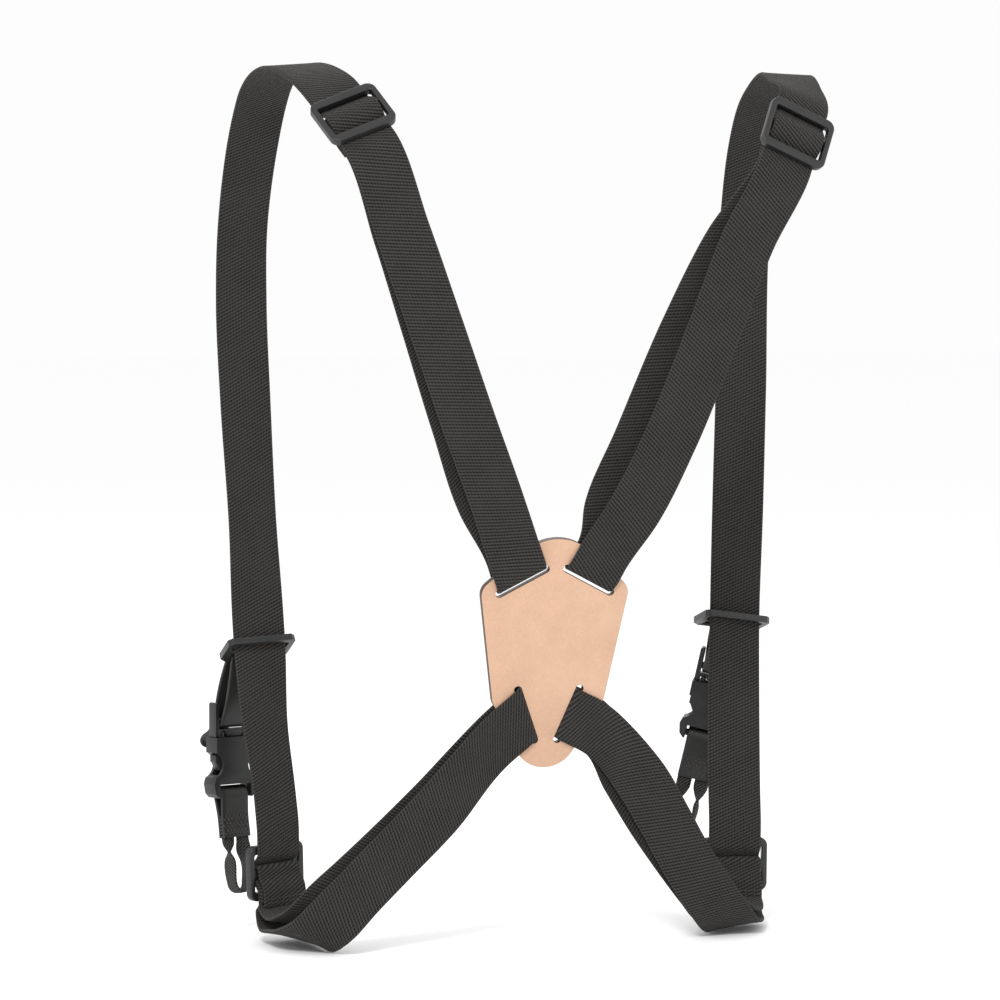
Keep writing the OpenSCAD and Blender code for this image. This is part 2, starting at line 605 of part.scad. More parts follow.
back_patch();
strap_upper(LEFT);  // left_strap_upper
strap_front(LEFT);  // left_strap_front
strap_lower(LEFT);  // left_strap_lower
strap_upper(RIGHT);  // right_strap_upper
strap_front(RIGHT);  // right_strap_front
strap_lower(RIGHT);  // right_strap_lower
adjuster(LEFT, 0);  // left_upper_adjuster
adjuster(LEFT, 1);  // left_lower_adjuster
adjuster(RIGHT, 0);  // right_upper_adjuster
adjuster(RIGHT, 1);  // right_lower_adjuster
slider_plate(LEFT);  // left_slider_plate
slider_plate(RIGHT);  // right_slider_plate
upper_tab(LEFT);  // left_upper_tab
upper_tab(RIGHT);  // right_upper_tab
pull_tongue(LEFT);  // left_pull_tongue
pull_tongue(RIGHT);  // right_pull_tongue
buckle_plug(LEFT);  // left_buckle_plug
buckle_plug(RIGHT);  // right_buckle_plug
prong(LEFT, -1);  // left_outer_prong
prong(LEFT, 1);  // left_inner_prong
prong(RIGHT, 1);  // right_outer_prong
prong(RIGHT, -1);  // right_inner_prong
buckle_socket(LEFT);  // left_buckle_socket
buckle_socket(RIGHT);  // right_buckle_socket
lower_tab(LEFT);  // left_lower_tab
lower_tab(RIGHT);  // right_lower_tab
webbing_loop(LEFT);  // left_webbing_loop
webbing_loop(RIGHT);  // right_webbing_loop
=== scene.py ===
import math

import bmesh
import bpy
import numpy as np
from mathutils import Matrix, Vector


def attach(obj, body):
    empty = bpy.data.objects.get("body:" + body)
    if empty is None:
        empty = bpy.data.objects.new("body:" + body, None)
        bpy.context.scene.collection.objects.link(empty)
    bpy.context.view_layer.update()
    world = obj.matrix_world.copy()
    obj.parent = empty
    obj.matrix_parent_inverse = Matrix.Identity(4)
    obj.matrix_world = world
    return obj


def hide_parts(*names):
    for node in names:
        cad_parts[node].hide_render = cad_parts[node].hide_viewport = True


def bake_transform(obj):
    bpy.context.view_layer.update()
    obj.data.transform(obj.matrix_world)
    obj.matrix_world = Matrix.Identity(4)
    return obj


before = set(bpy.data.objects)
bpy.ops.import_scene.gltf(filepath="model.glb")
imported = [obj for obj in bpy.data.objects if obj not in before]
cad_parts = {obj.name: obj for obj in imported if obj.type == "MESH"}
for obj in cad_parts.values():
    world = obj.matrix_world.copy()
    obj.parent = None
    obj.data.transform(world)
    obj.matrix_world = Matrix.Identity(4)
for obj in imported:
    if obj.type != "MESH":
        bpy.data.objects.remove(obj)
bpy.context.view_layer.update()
MM = 0.001

# ---------------------------------------------------------------- camera
YAW, DROP, REACH_M = math.radians(16.0), math.radians(3.1), 2.6
LENS_MM, SENSOR_MM, CLIP_M = 205.9, 36.0, 20.0
aim = Vector((-0.015, -0.0126, 0.2026))
fwd = Vector((math.sin(YAW) * math.cos(DROP), math.cos(YAW) * math.cos(DROP),
              -math.sin(DROP)))
cam_data = bpy.data.cameras.new("camera")
cam = bpy.data.objects.new("camera", cam_data)
bpy.context.collection.objects.link(cam)
cam.location = aim - fwd * REACH_M
cam.rotation_euler = fwd.to_track_quat("-Z", "Y").to_euler()
cam_data.sensor_width = SENSOR_MM
cam_data.lens = LENS_MM
cam_data.clip_end = CLIP_M
bpy.context.scene.camera = cam

# ---------------------------------------------------------------- frames, as in the CAD model (mm)
CENTRE = np.array([3.0, -12.6, 2.6])


def vec(*a):
    return np.array(a, float)


def unit(v):
    return v / np.linalg.norm(v)


def put(p):
    return vec(*p) + CENTRE


def make_frame(origin, along, across):
    a = unit(vec(*along))
    n = unit(np.cross(a, vec(*across)))
    return [origin, a, np.cross(n, a), n]


def at(f, x, y, z):
    return f[0] + x * f[1] + y * f[2] + z * f[3]


def strip_in(f, pairs, side=1):
    return [(at(f, s, 0, n), side * f[2]) for s, n in pairs]


def stations(rows):
    """Stations with each width direction turned square to the run, as in the CAD model."""
    spots = [put(p) for p, _ in rows]
    out = []
    for i, (_, w) in enumerate(rows):
        along = unit(spots[min(i + 1, len(rows) - 1)] - spots[max(i - 1, 0)])
        across = vec(*w)
        out.append((spots[i], unit(across - across.dot(along) * along)))
    return out


STRAP_W, STRAP_T, GAP = 25.0, 1.6, 0.12
PATCH_W, PATCH_H, PATCH_T, SLOT_W = 69.0, 108.0, 3.5, 3.6
LEAN = math.radians(12.3)
PATCH = [put((0, -19.5, 131.5)), vec(1, 0, 0), vec(0, -math.sin(LEAN), math.cos(LEAN)),
         vec(0, -math.cos(LEAN), -math.sin(LEAN))]
ADJ_L, ADJ_BAR, CENTRE_BAR, CENTRE_BAR_T = 25.5, 4.0, 4.0, 1.2
UNDER = STRAP_T / 2 + GAP
REACH = ADJ_L / 2 + 1.5
# How far the sewn tail hangs off the strap, in strap layers
TAIL_OFF = 2.2
LEFT = 0
SIDES = ("left", "right")

ADJUSTERS = [
    [make_frame(put((-101, -55, 372)), (0.31, -0.70, -0.64), (0.93, 0.10, 0.35)),
     make_frame(put((-110, 48, 28)), (0.03, 0.04, -1), (-0.89, -0.45, -0.05))],
    [make_frame(put((104, -55, 365)), (-0.387, -0.403, -0.83), (0.91, 0, -0.42)),
     make_frame(put((109.5, 45, 24)), (0, 0.04, -1), (-0.99, 0.1, 0))],
]

# Slots: place on the patch from its middle, turn in degrees, and slant (lower pair, upper pair)
UPPER_SLOT_AT = (PATCH_W * 0.225, PATCH_H * 0.318)
LOWER_SLOT_AT = (PATCH_W * 0.145, -PATCH_H * 0.266)
UPPER_SLOT_TURN, LOWER_SLOT_TURN = 28, -69
SLOT_SKEW = ((0.38, -0.12), (0.12, 0.0))


def slot_frame(side, upper):
    mx, my = UPPER_SLOT_AT if upper else LOWER_SLOT_AT
    mx = -mx if side == LEFT else mx
    turned = UPPER_SLOT_TURN if upper else LOWER_SLOT_TURN
    a = math.radians(turned if side == LEFT else -turned)
    sign = 1 if upper else -1
    skew = SLOT_SKEW[1 if upper else 0][side]
    across = math.cos(a) * PATCH[1] + math.sin(a) * PATCH[2]
    return [PATCH[0] + mx * PATCH[1] + my * PATCH[2],
            sign * (math.cos(a) * PATCH[2] - math.sin(a) * PATCH[1]) + skew * across,
            across * math.sqrt(1 + skew**2), PATCH[3]]


def slot_turn(from_front, hug):
    r = STRAP_T / 2 + GAP
    face = PATCH_T / 2 + r
    edge = SLOT_W / 2
    through = hug * (edge - r)
    turn = [(14, face), (edge + 0.9, face), (through + 1, face - 0.3), (through, PATCH_T / 2),
            (through, -PATCH_T / 2), (through + 1, 0.3 - face), (edge + 0.9, -face), (14, -face)]
    return turn if from_front else turn[::-1]


def weave():
    top = UNDER + CENTRE_BAR_T + 2 * GAP + 1.5 * STRAP_T
    half = [(REACH, 0), (ADJ_L / 2 - 1, 0), (ADJ_L / 2 - ADJ_BAR - 0.2, 0), (5.3, top - 2.2),
            (3, top - 0.5), (1, top)]
    return half + [(-s, n) for s, n in half[::-1]]


def wrap_turn():
    r = STRAP_T / 2 + GAP
    low, high, side = UNDER - r, UNDER + CENTRE_BAR_T + r, CENTRE_BAR / 2
    inner = -STRAP_T - 2 * GAP
    return [(15, TAIL_OFF * inner), (11, TAIL_OFF * inner), (8, 2.05 * inner), (4, low - 2.1),
            (side, low - 0.5), (-side, low), (-side - 0.7 * r, UNDER - 0.7 * r),
            (-side - r, UNDER), (-side - r, UNDER + CENTRE_BAR_T),
            (-side - 0.7 * r, UNDER + CENTRE_BAR_T + 0.7 * r), (-side, high),
            (side, high), (side + 1.3, high - 0.6), (4.6, 1.2), (7, inner + 1),
            (10, inner), (13, inner)]


# Stations of each strap, left then right: (position, width direction), in mm before CENTRE is added
UPPER_OUTER = [
    [((-80, -63, 321), (0.94, 0, 0.35)), ((-64, -57, 281), (0.94, 0, 0.35)),
     ((-46, -48, 237), (0.94, 0, 0.35)), ((-30, -39, 200), (0.93, 0, 0.38))],
    [((79, -63, 317), (0.90, 0, -0.44)), ((66, -57, 279), (0.90, 0, -0.44)),
     ((48, -48, 229), (0.89, 0, -0.46)), ((33, -39, 195), (0.88, 0, -0.48))],
]
UPPER_INNER = [
    [((-34, -31, 200), (0.93, 0, 0.38)), ((-48.5, -38, 237), (0.94, 0, 0.35)),
     ((-65, -48, 281), (0.94, 0, 0.35)), ((-80, -57, 321), (0.94, 0, 0.35))],
    [((25.5, -28, 195), (0.88, 0, -0.48)), ((38.5, -34, 229), (0.89, 0, -0.46)),
     ((57.5, -44, 279), (0.90, 0, -0.44)), ((74, -55, 317), (0.90, 0, -0.44))],
]
FRONT = [
    [((-112, -27, 392), (0.90, 0.25, 0.22)), ((-117, -8, 396), (0.92, 0.35, 0.08)),
     ((-119, 10, 394), (0.95, 0.30, 0)), ((-120, 28, 387), (0.98, 0.20, 0)),
     ((-120, 40, 378), (0.99, 0.15, 0)), ((-121, 51, 361), (0.99, 0.14, 0)),
     ((-124, 58, 324), (0.98, 0.20, 0)), ((-124, 61, 288), (0.99, 0.15, 0)),
     ((-122, 62, 245), (0.98, 0.17, 0)), ((-119, 61, 189), (0.96, 0.28, 0)),
     ((-116, 60, 132), (0.99, 0.10, 0)), ((-114, 57.5, 95), (0.93, 0.36, 0)),
     ((-111, 51.5, 63), (0.89, 0.45, 0))],
    [((113, -28, 389), (0.96, 0.10, -0.12)), ((116, -6, 393), (0.98, 0.15, -0.04)),
     ((117, 12, 389), (1, 0.05, 0)), ((118, 30, 380), (1, 0, 0)),
     ((119, 48, 360), (1, 0, 0)), ((118, 57, 324), (1, 0, 0)),
     ((117.6, 61.5, 245), (1, 0, 0)), ((116, 60.8, 192), (1, -0.03, 0)),
     ((114.3, 60, 139), (1, 0.05, 0)), ((113, 57, 97), (1, -0.06, 0)),
     ((111, 50, 60), (0.99, -0.10, 0))],
]
LOWER_OUTER = [
    [((-110, 47.5, 8), (0.90, 0.42, -0.02)), ((-110, 43, 3.2), (0.91, 0.40, -0.05)),
     ((-110.5, 35, 1.6), (0.94, 0.30, -0.12)), ((-111, 18, 1.8), (0.94, 0.15, -0.24)),
     ((-111, 2, 2.8), (0.93, 0, -0.34)), ((-108, -12, 5.6), (0.86, -0.15, -0.46)),
     ((-101, -19, 13.5), (0.74, -0.20, -0.62)), ((-90, -20.5, 25), (0.70, 0, -0.71)),
     ((-76, -20, 38.5), (0.70, 0, -0.72)), ((-54, -19, 59.5), (0.71, 0, -0.70))],
    [((109.5, 45, 7), (0.99, -0.06, 0)), ((109, 41, 2.6), (0.99, -0.04, 0)),
     ((107, 33, 1.2), (0.99, 0, 0.02)), ((101, 17, 0.6), (0.99, 0, 0.08)),
     ((95, 4, 1.6), (0.98, 0, 0.13)), ((88, -5, 7), (0.98, 0, 0.17)),
     ((79, -12, 17), (0.97, 0, 0.22)), ((64.5, -15.5, 38), (0.84, 0, 0.54)),
     ((56, -16.3, 53), (0.84, 0, 0.54)), ((42.5, -16.5, 75), (0.78, 0, 0.62))],
]
LOWER_INNER = [
    [((-54, -12, 62), (0.71, 0, -0.70)),
     ((-76, -13, 42), (0.70, 0, -0.72)), ((-90, -13, 29.5), (0.72, -0.05, -0.69)),
     ((-100, -9, 19.5), (0.80, -0.20, -0.56)), ((-106, 1, 11.5), (0.90, 0, -0.42)),
     ((-108, 14, 8.2), (0.94, 0.15, -0.30)), ((-109, 27, 7), (0.94, 0.28, -0.15)),
     ((-109.3, 36, 8), (0.91, 0.38, -0.07)), ((-109.6, 42.3, 10.7), (0.90, 0.43, 0))],
    [((40, -9.5, 73), (0.78, 0, 0.62)), ((52, -9.8, 53.5), (0.84, 0, 0.54)),
     ((63, -9.5, 38), (0.84, 0, 0.54)), ((77, -5.5, 21), (0.97, 0, 0.22)),
     ((86, 2, 11.5), (0.98, 0, 0.17)), ((94, 11, 6.8), (0.98, 0, 0.13)),
     ((100, 21, 5.4), (0.99, 0, 0.08)), ((105.5, 31, 5.4), (0.99, 0, 0.02)),
     ((108.6, 38.6, 7.4), (0.99, -0.06, 0))],
]

PLATE_SLOT, PLATE_BAR, TAB_SLOT, TAB_BAR_R = 5.0, 3.2, 5.5, 1.8
TAB_BAR_AT = PLATE_SLOT / 2 + PLATE_BAR + TAB_SLOT + TAB_BAR_R
PITCH, ROLL, TURN = (28, 17), (-3, 8), (0.1, 0.05)
PLATE_AT = ((-116, 60, 132), (114.3, 60, 139))


def plate_frame(side):
    p, r = math.radians(PITCH[side]), math.radians(ROLL[side])
    return make_frame(put(PLATE_AT[side]), (math.cos(r), TURN[side], -math.sin(r)),
                      (0, math.cos(p), -math.sin(p)))


TAB_SHIFT = (-3.5, 2.5)


def tab_bar_frame(side):
    f = plate_frame(side)
    return [at(f, TAB_SHIFT[side], TAB_BAR_AT, 0), f[1], f[2], f[3]]


FROM_BAR = ((-4.6, 9.9, -30.5), (-2.4, 7.2, -21.5))
BUCKLE_UP = ((0, 0, 1), (0.16, -0.2, 0.96))
BUCKLE_ACROSS = ((0.914, 0.407, 0), (0.914, -0.407, 0))
MOUTH_Z, SOCKET_L = -7.5, 26.0
SOCKET_BAR_Z = MOUTH_Z - SOCKET_L
TAB_W, TAB_T, LOW_TAB_L, LOOP_L, WEB_W, WEB_T = 15.6, 1.4, 21.0, 26.0, 7.0, 1.4
BAR_R = 1.6
R_TOP = TAB_BAR_R + 0.3 + TAB_T / 2
R_LOW = BAR_R + 0.3 + TAB_T / 2


def buckle_frame(side):
    up = unit(vec(*BUCKLE_UP[side]))
    out = unit(np.cross(up, vec(*BUCKLE_ACROSS[side])))
    return [tab_bar_frame(side)[0] + vec(*FROM_BAR[side]), np.cross(out, up), out, up]


def low_tab_frame(side):
    b = buckle_frame(side)
    a = math.radians((9, 14)[side])
    up = math.cos(a) * b[3] + math.sin(a) * b[2]
    return [b[0] + SOCKET_BAR_Z * b[3], b[1], unit(np.cross(up, b[1])), up]


# ---------------------------------------------------------------- mesh building
def tangent(st, i, k):
    def gap(j):
        return max(np.linalg.norm(st[j + 1][0] - st[j][0]), 0.001)

    last = len(st) - 1
    if i == 0:
        return (st[1][k] - st[0][k]) / gap(0)
    if i == last:
        return (st[last][k] - st[last - 1][k]) / gap(last - 1)
    a, b = gap(i - 1), gap(i)
    return ((st[i][k] - st[i - 1][k]) * b / a + (st[i + 1][k] - st[i][k]) * a / b) / (a + b)


def run(st, step=2.0):
    """The same cubic through the stations as the CAD straps, sampled more finely."""
    out = []
    for i in range(len(st) - 1):
        d = max(np.linalg.norm(st[i + 1][0] - st[i][0]), 0.001)
        parts = max(1, round(d / step))
        for j in range(parts):
            t = j / parts
            h = (2 * t**3 - 3 * t**2 + 1, t**3 - 2 * t**2 + t, 3 * t**2 - 2 * t**3, t**3 - t**2)
            out.append(tuple(
                st[i][k] * h[0] + tangent(st, i, k) * d * h[1]
                + st[i + 1][k] * h[2] + tangent(st, i + 1, k) * d * h[3] for k in (0, 1)))
    out.append((st[-1][0], st[-1][1]))
    return out


def link(name, mesh):
    obj = bpy.data.objects.new(name, mesh)
    bpy.context.collection.objects.link(obj)
    return obj


def flat_profile(width, thick, across=8, crown=0.0, bead=0.0):
    """Section of a strip: points (across, outward, face) going round.

    Face 0 looks along the ring's up, face 1 against it and face 2 is the edge. On the straps
    face 1 is the one seen from outside.
    """
    r = thick / 2
    w = width / 2 - r
    pts = []
    for i in range(across + 1):
        x = w - 2 * w * i / across
        pts.append((x, r + crown * (1 - (x / w) ** 2) + (bead if i in (0, across) else 0), 0))
    for i in range(1, 5):
        a = math.pi / 2 + math.pi * i / 5
        pts.append((-w + r * math.cos(a), r * math.sin(a), 2))
    for i in range(across + 1):
        x = -w + 2 * w * i / across
        pts.append((x, -r - crown * (1 - (x / w) ** 2) - (bead if i in (0, across) else 0), 1))
    for i in range(1, 5):
        a = -math.pi / 2 + math.pi * i / 5
        pts.append((w + r * math.cos(a), r * math.sin(a), 2))
    return pts


def rings_of(path, closed=False, ruled=False):
    """Rings of (position, side, outward, distance) from a path of (position, width vector)."""
    n = len(path)
    out, dist = [], 0.0
    for i, (p, w) in enumerate(path):
        before = path[(i - 1) % n if closed else max(i - 1, 0)][0]
        after = path[(i + 1) % n if closed else min(i + 1, n - 1)][0]
        along = unit(after - before)
        up = unit(np.cross(along, w))
        if i:
            dist += np.linalg.norm(p - path[i - 1][0]) * MM
        out.append((p, w if ruled else np.cross(up, along), up, dist))
    return out


def sweep(name, rings, profile, closed=False, narrow=None):
    """Sweeps a section along rings. UV: along, across, in metres."""
    n, m = len(rings), len(profile)
    bm = bmesh.new()
    uv = bm.loops.layers.uv.new("UVMap")
    loop_end = rings[-1][3] + np.linalg.norm(rings[0][0] - rings[-1][0]) * MM
    rows = []
    for i, (p, side, up, _) in enumerate(rings):
        k = narrow[i] if narrow else 1.0
        rows.append([bm.verts.new((p + side * a * k + up * b) * MM) for a, b, _ in profile])
    for i in range(n if closed else n - 1):
        j = (i + 1) % n
        d0, d1 = rings[i][3], (rings[j][3] if j else loop_end)
        for c in range(m):
            e = (c + 1) % m
            face = bm.faces.new((rows[i][c], rows[i][e], rows[j][e], rows[j][c]))
            face.material_index = profile[c][2] if profile[c][2] == profile[e][2] else 2
            face.smooth = True
            for loop, (d, q) in zip(face.loops, ((d0, c), (d0, e), (d1, e), (d1, c))):
                loop[uv].uv = (d, profile[q][0] * MM)
    if not closed:
        for ring, flip in ((rows[0], False), (rows[-1], True)):
            face = bm.faces.new(ring if flip else ring[::-1])
            face.material_index = 2
            for edge in face.edges:
                edge.smooth = False
    bm.normal_update()
    mesh = bpy.data.meshes.new(name)
    bm.to_mesh(mesh)
    bm.free()
    return link(name, mesh)


def soften(node, width, segments=2, angle=28):
    """A copy of a moulded CAD piece with the small rounded edges that moulding leaves."""
    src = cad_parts[node]
    bm = bmesh.new()
    bm.from_mesh(src.data)
    bmesh.ops.remove_doubles(bm, verts=bm.verts, dist=2e-6)
    bmesh.ops.dissolve_limit(bm, angle_limit=math.radians(1.0), verts=bm.verts, edges=bm.edges)
    edges = [e for e in bm.edges
             if len(e.link_faces) == 2 and e.calc_face_angle(0) > math.radians(angle)]
    bmesh.ops.bevel(bm, geom=edges, offset=width * MM, segments=segments, profile=0.5,
                    affect="EDGES", clamp_overlap=True)
    bmesh.ops.triangulate(bm, faces=[f for f in bm.faces if len(f.verts) > 4])
    for f in bm.faces:
        f.smooth = True
    mesh = bpy.data.meshes.new(node + "_soft")
    bm.to_mesh(mesh)
    bm.free()
    mesh.set_sharp_from_angle(angle=math.radians(40))
    obj = link(node + "_soft", mesh)
    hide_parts(node)
    return obj


# ---------------------------------------------------------------- materials
def material(name):
    mat = bpy.data.materials.new(name)
    mat.use_nodes = True
    nodes, links = mat.node_tree.nodes, mat.node_tree.links
    return mat, nodes, links, nodes["Principled BSDF"]


def ramp(nodes, links, fac, stops):
    node = nodes.new("ShaderNodeValToRGB")
    els = node.color_ramp.elements
    while len(els) < len(stops):
        els.new(0.5)
    for el, (pos, col) in zip(els, stops):
        el.position, el.color = pos, (*col, 1)
    links.new(fac, node.inputs[0])
    return node.outputs[0]


def noise(nodes, links, vector, scale, detail=3.0, rough=0.5):
    node = nodes.new("ShaderNodeTexNoise")
    node.inputs["Scale"].default_value = scale
    node.inputs["Detail"].default_value = detail
    node.inputs["Roughness"].default_value = rough
    links.new(vector, node.inputs["Vector"])
    return node.outputs["Fac"]


def math_node(nodes, links, op, a, b=None, c=None):
    node = nodes.new("ShaderNodeMath")
    node.operation = op
    for i, v in enumerate((a, b, c)):
        if v is None:
            continue
        if isinstance(v, (int, float)):
            node.inputs[i].default_value = v
        else:
            links.new(v, node.inputs[i])
    return node.outputs[0]


def bump(nodes, links, bsdf, height, strength, distance):
    node = nodes.new("ShaderNodeBump")
    node.inputs["Strength"].default_value = strength
    node.inputs["Distance"].default_value = distance
    links.new(height, node.inputs["Height"])
    links.new(node.outputs[0], bsdf.inputs["Normal"])


def woven(name, dark, light, pitch, slope, cross, depth, rough=(0.75, 0.95), sheen=0.05):
    """Ribbed cloth in strap coordinates: diagonal ribs broken by the cross threads, with painted
    shade in the grooves and painted highlight on the crests.
    """
    mat, nodes, links, bsdf = material(name)
    uv = nodes.new("ShaderNodeUVMap")
    uv.uv_map = "UVMap"
    sep = nodes.new("ShaderNodeSeparateXYZ")
    links.new(uv.outputs[0], sep.inputs[0])
    along, side = sep.outputs[0], sep.outputs[1]
    wobble = noise(nodes, links, uv.outputs[0], 900, 2)
    d = math_node(nodes, links, "MULTIPLY_ADD", side, slope, along)
    d = math_node(nodes, links, "MULTIPLY_ADD", wobble, pitch * 0.25, d)
    rib = math_node(nodes, links, "SINE",
                    math_node(nodes, links, "MULTIPLY", d, 2 * math.pi / pitch))
    thread = math_node(nodes, links, "SINE",
                       math_node(nodes, links, "MULTIPLY", side, 2 * math.pi / cross))
    height = math_node(nodes, links, "MULTIPLY_ADD", thread, 0.35, rib)
    height = math_node(nodes, links, "MULTIPLY_ADD", height, 0.37, 0.5)
    fuzz = noise(nodes, links, uv.outputs[0], 4200, 2)
    height = math_node(nodes, links, "MULTIPLY_ADD", fuzz, 0.25, height)
    large = noise(nodes, links, uv.outputs[0], 60, 2)
    # the rib height also sets the colour: painted shade in the grooves between ribs and threads,
    # painted highlight on the crests, plus a random tone from the large noise
    groove_shade_and_tone = math_node(nodes, links, "MULTIPLY_ADD", large, 0.25, height)
    color = ramp(nodes, links, groove_shade_and_tone, ((0.25, dark), (1.05, light)))
    links.new(color, bsdf.inputs["Base Color"])
    roughness = nodes.new("ShaderNodeMapRange")
    roughness.inputs[3].default_value, roughness.inputs[4].default_value = rough[1], rough[0]
    links.new(height, roughness.inputs[0])
    links.new(roughness.outputs[0], bsdf.inputs["Roughness"])
    bsdf.inputs["Sheen Weight"].default_value = sheen
    bsdf.inputs["Sheen Roughness"].default_value = 0.5
    bsdf.inputs["Specular IOR Level"].default_value = 0.12
    bump(nodes, links, bsdf, height, 0.9, depth)
    return mat


def moulded(name, color, rough, grain=0.00004):
    mat, nodes, links, bsdf = material(name)
    co = nodes.new("ShaderNodeTexCoord").outputs["Object"]
    fine = noise(nodes, links, co, 2600, 3)
    broad = noise(nodes, links, co, 90, 3)
    mix = math_node(nodes, links, "MULTIPLY_ADD", broad, 0.6,
                    math_node(nodes, links, "MULTIPLY", fine, 0.4))
    c = [x * 0.8 for x in color], [min(1, x * 1.25) for x in color]
    links.new(ramp(nodes, links, mix, ((0.3, c[0]), (0.7, c[1]))), bsdf.inputs["Base Color"])
    mr = nodes.new("ShaderNodeMapRange")
    mr.inputs[3].default_value, mr.inputs[4].default_value = rough - 0.07, rough + 0.08
    links.new(mix, mr.inputs[0])
    links.new(mr.outputs[0], bsdf.inputs["Roughness"])
    bump(nodes, links, bsdf, fine, 0.35, grain)
    return mat


def leather(name, dark, light, rough, pore=420, depth=0.00012, coat=0.0):
    mat, nodes, links, bsdf = material(name)
    co = nodes.new("ShaderNodeTexCoord").outputs["Object"]
    cells = nodes.new("ShaderNodeTexVoronoi")
    cells.inputs["Scale"].default_value = pore * 2.2
    links.new(co, cells.inputs["Vector"])
    fine = noise(nodes, links, co, pore * 4, 4, 0.6)
    broad = noise(nodes, links, co, 28, 4, 0.55)
    grain = math_node(nodes, links, "MULTIPLY_ADD", cells.outputs["Distance"], 0.5,
                      math_node(nodes, links, "MULTIPLY", fine, 0.5))
    tone = math_node(nodes, links, "MULTIPLY_ADD", broad, 0.75,
                     math_node(nodes, links, "MULTIPLY", grain, 0.3))
    links.new(ramp(nodes, links, tone, ((0.3, dark), (0.75, light))), bsdf.inputs["Base Color"])
    mr = nodes.new("ShaderNodeMapRange")
    mr.inputs[3].default_value, mr.inputs[4].default_value = rough - 0.08, rough + 0.08
    links.new(broad, mr.inputs[0])
    links.new(mr.outputs[0], bsdf.inputs["Roughness"])
    bsdf.inputs["Coat Weight"].default_value = coat
    bump(nodes, links, bsdf, grain, 0.4, depth)
    return mat


TWILL = woven("elastic_outer", (0.0015, 0.0014, 0.0013), (0.046, 0.042, 0.039),
              0.0025, 1.0, 0.0017, 0.0009)
RIB = woven("elastic_inner", (0.004, 0.0038, 0.0035), (0.044, 0.041, 0.038),
            0.0016, 0.45, 0.0014, 0.0005)
EDGE = woven("elastic_edge", (0.004, 0.0038, 0.0035), (0.030, 0.028, 0.026),
             0.0012, 0.1, 0.0008, 0.0002)
PLASTIC = moulded("plastic", (0.013, 0.013, 0.013), 0.36)
SOCKET = moulded("plastic_pebbled", (0.010, 0.010, 0.010), 0.42, 0.0002)
TAN = leather("leather_tan", (0.46, 0.275, 0.175), (0.62, 0.395, 0.268), 0.5, coat=0.04)
BURNISHED = leather("leather_burnished", (0.030, 0.014, 0.008), (0.085, 0.042, 0.026), 0.5)
BLACK = leather("leather_black", (0.004, 0.0038, 0.0036), (0.016, 0.015, 0.014), 0.45,
                coat=0.03)
CUT = leather("leather_cut_edge", (0.10, 0.095, 0.085), (0.24, 0.23, 0.21), 0.6)
WEBBING = woven("webbing", (0.002, 0.002, 0.002), (0.070, 0.068, 0.065),
                0.0016, 0.9, 0.0016, 0.0006)
THREAD = woven("thread", (0.03, 0.028, 0.026), (0.10, 0.095, 0.09),
               0.0003, 1.0, 0.0004, 0.00005)


def dress(obj, *mats):
    obj.data.materials.clear()
    for m in mats:
        obj.data.materials.append(m)


# ---------------------------------------------------------------- straps
PROFILE = flat_profile(STRAP_W, STRAP_T, 10, bead=0.06)
DOUBLED_STEP, FRONT_STEP = 1.6, 2.0
# The station where the chest run starts, well clear of both adjusters
CHEST_START = (8, 6)


def strap_piece(name, rings, node, bodies):
    obj = sweep(name, rings, PROFILE)
    dress(obj, RIB, TWILL, EDGE)
    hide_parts(node)
    if len(bodies) == 1:
        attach(obj, bodies[0])
    else:
        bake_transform(obj)


def parted(path, points, ruled):
    """Rings of a whole strap, parted at the given points; neighbours share a ring."""
    rings = rings_of(path, ruled=ruled)
    marks = [0]
    for point in points:
        away = [np.linalg.norm(r[0] - point) if i > marks[-1] else math.inf
                for i, r in enumerate(rings)]
        marks.append(int(np.argmin(away)))
    marks.append(len(rings) - 1)
    return [rings[a:b + 1] for a, b in zip(marks, marks[1:])]


for side, s in enumerate(SIDES):
    top, low = ADJUSTERS[side]
    up_body, low_body = s + "_upper_adjuster_body", s + "_lower_adjuster_body"
    # The lengths wrapped and woven through an adjuster go with it; the rest is left unparented, its
    # transform baked into the mesh.
    slot = strip_in(slot_frame(side, True), slot_turn(False, 1))
    wrap, woven_run = strip_in(top, wrap_turn()), strip_in(top, weave())
    path = run(wrap + stations(UPPER_INNER[side])[::-1] + slot
               + stations(UPPER_OUTER[side])[::-1] + woven_run, DOUBLED_STEP)
    tail, free, through = parted(path, [wrap[-1][0], woven_run[0][0]], True)
    node = s + "_strap_upper"
    strap_piece(node + "_wrap", tail, node, [up_body])
    strap_piece(node + "_run", free, node, ["harness", up_body])
    strap_piece(node + "_weave", through, node, [up_body])

    front = stations(FRONT[side])
    path = run(strip_in(top, [(-REACH, 0), (-REACH - 3, 0)]) + front
               + strip_in(low, [(-REACH - 3, 0), (-REACH, 0)], -1), FRONT_STEP)
    shoulder, chest = parted(path, [front[CHEST_START[side]][0]], False)
    node = s + "_strap_front"
    strap_piece(node + "_shoulder", shoulder, node, [up_body, "harness"])
    strap_piece(node + "_chest", chest, node, ["harness", low_body])

    slot = strip_in(slot_frame(side, False), slot_turn(True, -1))
    wrap, woven_run = strip_in(low, wrap_turn(), -1), strip_in(low, weave(), -1)
    outer = stations(LOWER_OUTER[side])
    path = run(woven_run[::-1] + outer + slot + stations(LOWER_INNER[side]) + wrap[::-1],
               DOUBLED_STEP)
    through, free, tail = parted(path, [woven_run[0][0], wrap[-1][0]], True)
    node = s + "_strap_lower"
    strap_piece(node + "_weave", through, node, [low_body])
    strap_piece(node + "_run", free, node, [low_body, "harness"])
    strap_piece(node + "_wrap", tail, node, [low_body])


